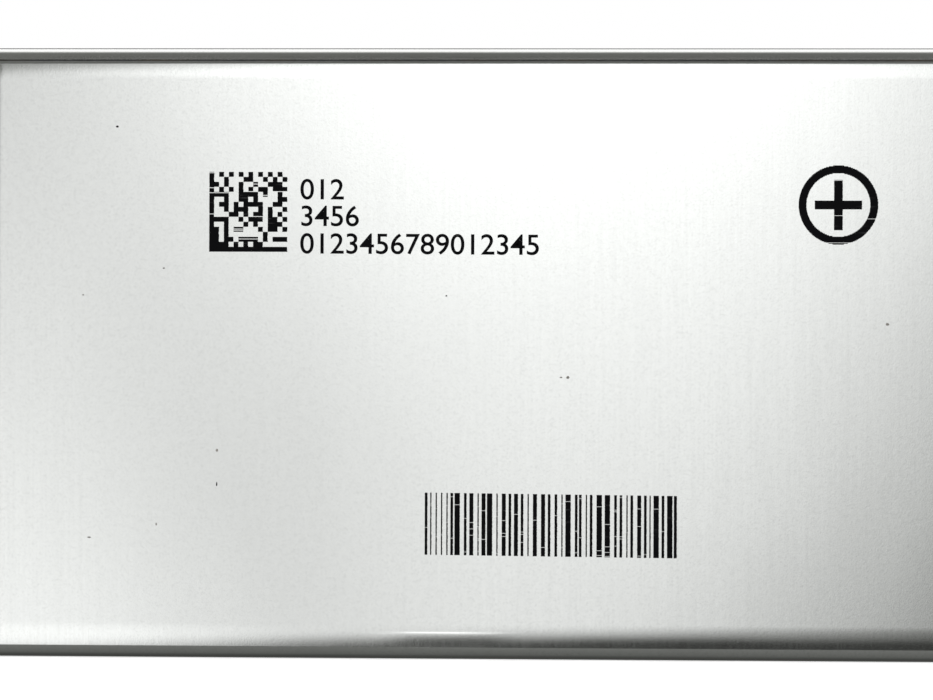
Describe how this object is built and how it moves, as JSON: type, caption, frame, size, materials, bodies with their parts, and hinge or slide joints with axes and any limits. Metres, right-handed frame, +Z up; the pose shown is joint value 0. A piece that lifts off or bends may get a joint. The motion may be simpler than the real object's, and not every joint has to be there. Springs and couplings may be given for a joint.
{
  "type": "prismatic battery cell",
  "caption": "Sealed rectangular lithium-ion cell: drawn aluminium can, welded lid with a rolled rim, and two flat terminals, vent and filling port sunk below that rim.",
  "frame": {"origin": "middle of the can's underside", "axes": "+Z up to the terminals, +X towards the positive terminal's end, -Y out of the marked large face"},
  "size_m": [0.148, 0.0264, 0.091],
  "materials": {
    "can_aluminium": "satin",
    "lid_aluminium": "satin",
    "vent_aluminium": "satin",
    "weld_aluminium": "satin",
    "terminal_aluminium": "satin",
    "rivet_copper": "satin",
    "vent_film": "gloss",
    "frame_plastic": "satin",
    "gasket_rubber": "matte",
    "plug_rubber": "matte",
    "insulator_plastic": "satin",
    "collector_aluminium": "satin",
    "collector_copper": "satin",
    "cathode_coating": "matte",
    "anode_coating": "matte",
    "separator_film": "satin",
    "tape_film": "gloss",
    "bag_film": "gloss",
    "print_ink": "satin"
  },
  "bodies": {
    "root": {"can": "can_aluminium", "lid_plate": "lid_aluminium", "vent_disc": "vent_aluminium", "vent_film": "vent_film", "vent_guard": "insulator_plastic", "fill_plug": "plug_rubber", "fill_cap": "weld_aluminium", "insulating_bag": "bag_film", "bottom_support": "insulator_plastic", "positive_terminal": "terminal_aluminium", "positive_terminal_frame": "frame_plastic", "positive_rivet": "terminal_aluminium", "positive_gasket": "gasket_rubber", "positive_inner_insulator": "insulator_plastic", "positive_collector": "collector_aluminium", "positive_weld_clips": "collector_aluminium", "positive_end_retainer": "insulator_plastic", "negative_terminal": "terminal_aluminium", "negative_terminal_frame": "frame_plastic", "negative_rivet": "rivet_copper", "negative_gasket": "gasket_rubber", "negative_inner_insulator": "insulator_plastic", "negative_collector": "collector_copper", "negative_weld_clips": "collector_copper", "negative_end_retainer": "insulator_plastic", "front_roll_inner_separator": "separator_film", "front_roll_cathode": "cathode_coating", "front_roll_outer_separator": "separator_film", "front_roll_anode": "anode_coating", "front_roll_tape": "tape_film", "rear_roll_inner_separator": "separator_film", "rear_roll_cathode": "cathode_coating", "rear_roll_outer_separator": "separator_film", "rear_roll_anode": "anode_coating", "rear_roll_tape": "tape_film"}
  },
  "joints": []
}
